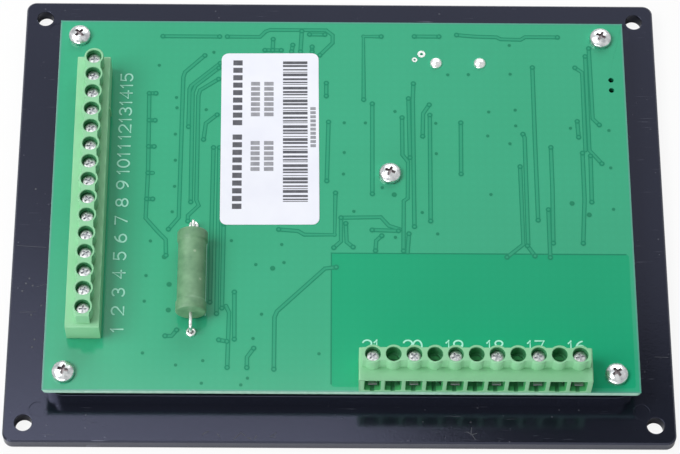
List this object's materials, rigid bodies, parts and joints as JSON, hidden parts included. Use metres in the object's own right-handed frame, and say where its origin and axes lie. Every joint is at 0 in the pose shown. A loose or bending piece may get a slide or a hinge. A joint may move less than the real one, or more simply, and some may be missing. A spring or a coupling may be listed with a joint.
{
  "type": "genset controller",
  "caption": "Panel-mounted engine generator controller lying face down: black flanged housing, green circuit board, screw terminal strips along two edges and a power resistor.",
  "frame": {"origin": "Middle of the housing's front face, on the surface that the controller lies on face down.", "axes": "+X along the long side, to the right in the picture; +Y along the short side, away from the lower terminal strip; +Z from the front face to the wiring side."},
  "size_m": [0.165, 0.125, 0.0226],
  "materials": {
    "black_housing": "satin moulded plastic",
    "fascia_film": "fine-textured film",
    "red_key": "moulded",
    "grey_key": "moulded",
    "green_key": "moulded",
    "black_parts": "moulded epoxy",
    "lamp_resin": "moulded resin",
    "clear_pipe": "clear moulded",
    "board_laminate": "glossy solder mask",
    "zinc_steel": "bright zinc plated",
    "terminal_green": "moulded polyamide",
    "nickel_brass": "nickel plated",
    "tinned_copper": "tinned",
    "solder": "bright solder",
    "resistor_enamel": "satin enamel",
    "label_paper": "coated",
    "aluminium_can": "drawn can"
  },
  "bodies": {
    "controller": {"bezel_housing": "black_housing", "fascia_film": "fascia_film", "key_switches": "black_parts", "indicator_lamps": "lamp_resin", "light_pipes": "clear_pipe", "circuit_board": "board_laminate", "board_screws": "zinc_steel", "side_terminal_body": "terminal_green", "side_clamp_screws": "zinc_steel", "side_clamp_cages": "nickel_brass", "side_contact_pins": "tinned_copper", "lower_terminal_body": "terminal_green", "lower_clamp_screws": "zinc_steel", "lower_clamp_cages": "nickel_brass", "lower_contact_pins": "tinned_copper", "pin_solder_joints": "solder", "power_resistor": "resistor_enamel", "resistor_leads": "tinned_copper", "lead_solder_joints": "solder", "id_label": "label_paper", "microcontroller": "black_parts", "microcontroller_legs": "tinned_copper", "timing_crystal": "zinc_steel", "supply_regulator": "black_parts", "smoothing_capacitors": "aluminium_can", "output_transistors": "black_parts", "protection_diode": "black_parts", "diode_leads": "tinned_copper", "diode_solder_joints": "solder"},
    "stop_button": {"stop_key": "red_key"},
    "manual_button": {"manual_key": "grey_key"},
    "auto_button": {"auto_key": "green_key"}
  },
  "joints": [
    {"name": "stop_press", "type": "slide", "parent": "controller", "child": "stop_button", "axis": [0, 0, 1], "range_m": [0, 0.0006], "stiffness_N_per_m": 1500, "springref_m": -0.0005},
    {"name": "manual_press", "type": "slide", "parent": "controller", "child": "manual_button", "axis": [0, 0, 1], "range_m": [0, 0.0006], "stiffness_N_per_m": 1500, "springref_m": -0.0005},
    {"name": "auto_press", "type": "slide", "parent": "controller", "child": "auto_button", "axis": [0, 0, 1], "range_m": [0, 0.0006], "stiffness_N_per_m": 1500, "springref_m": -0.0005}
  ]
}
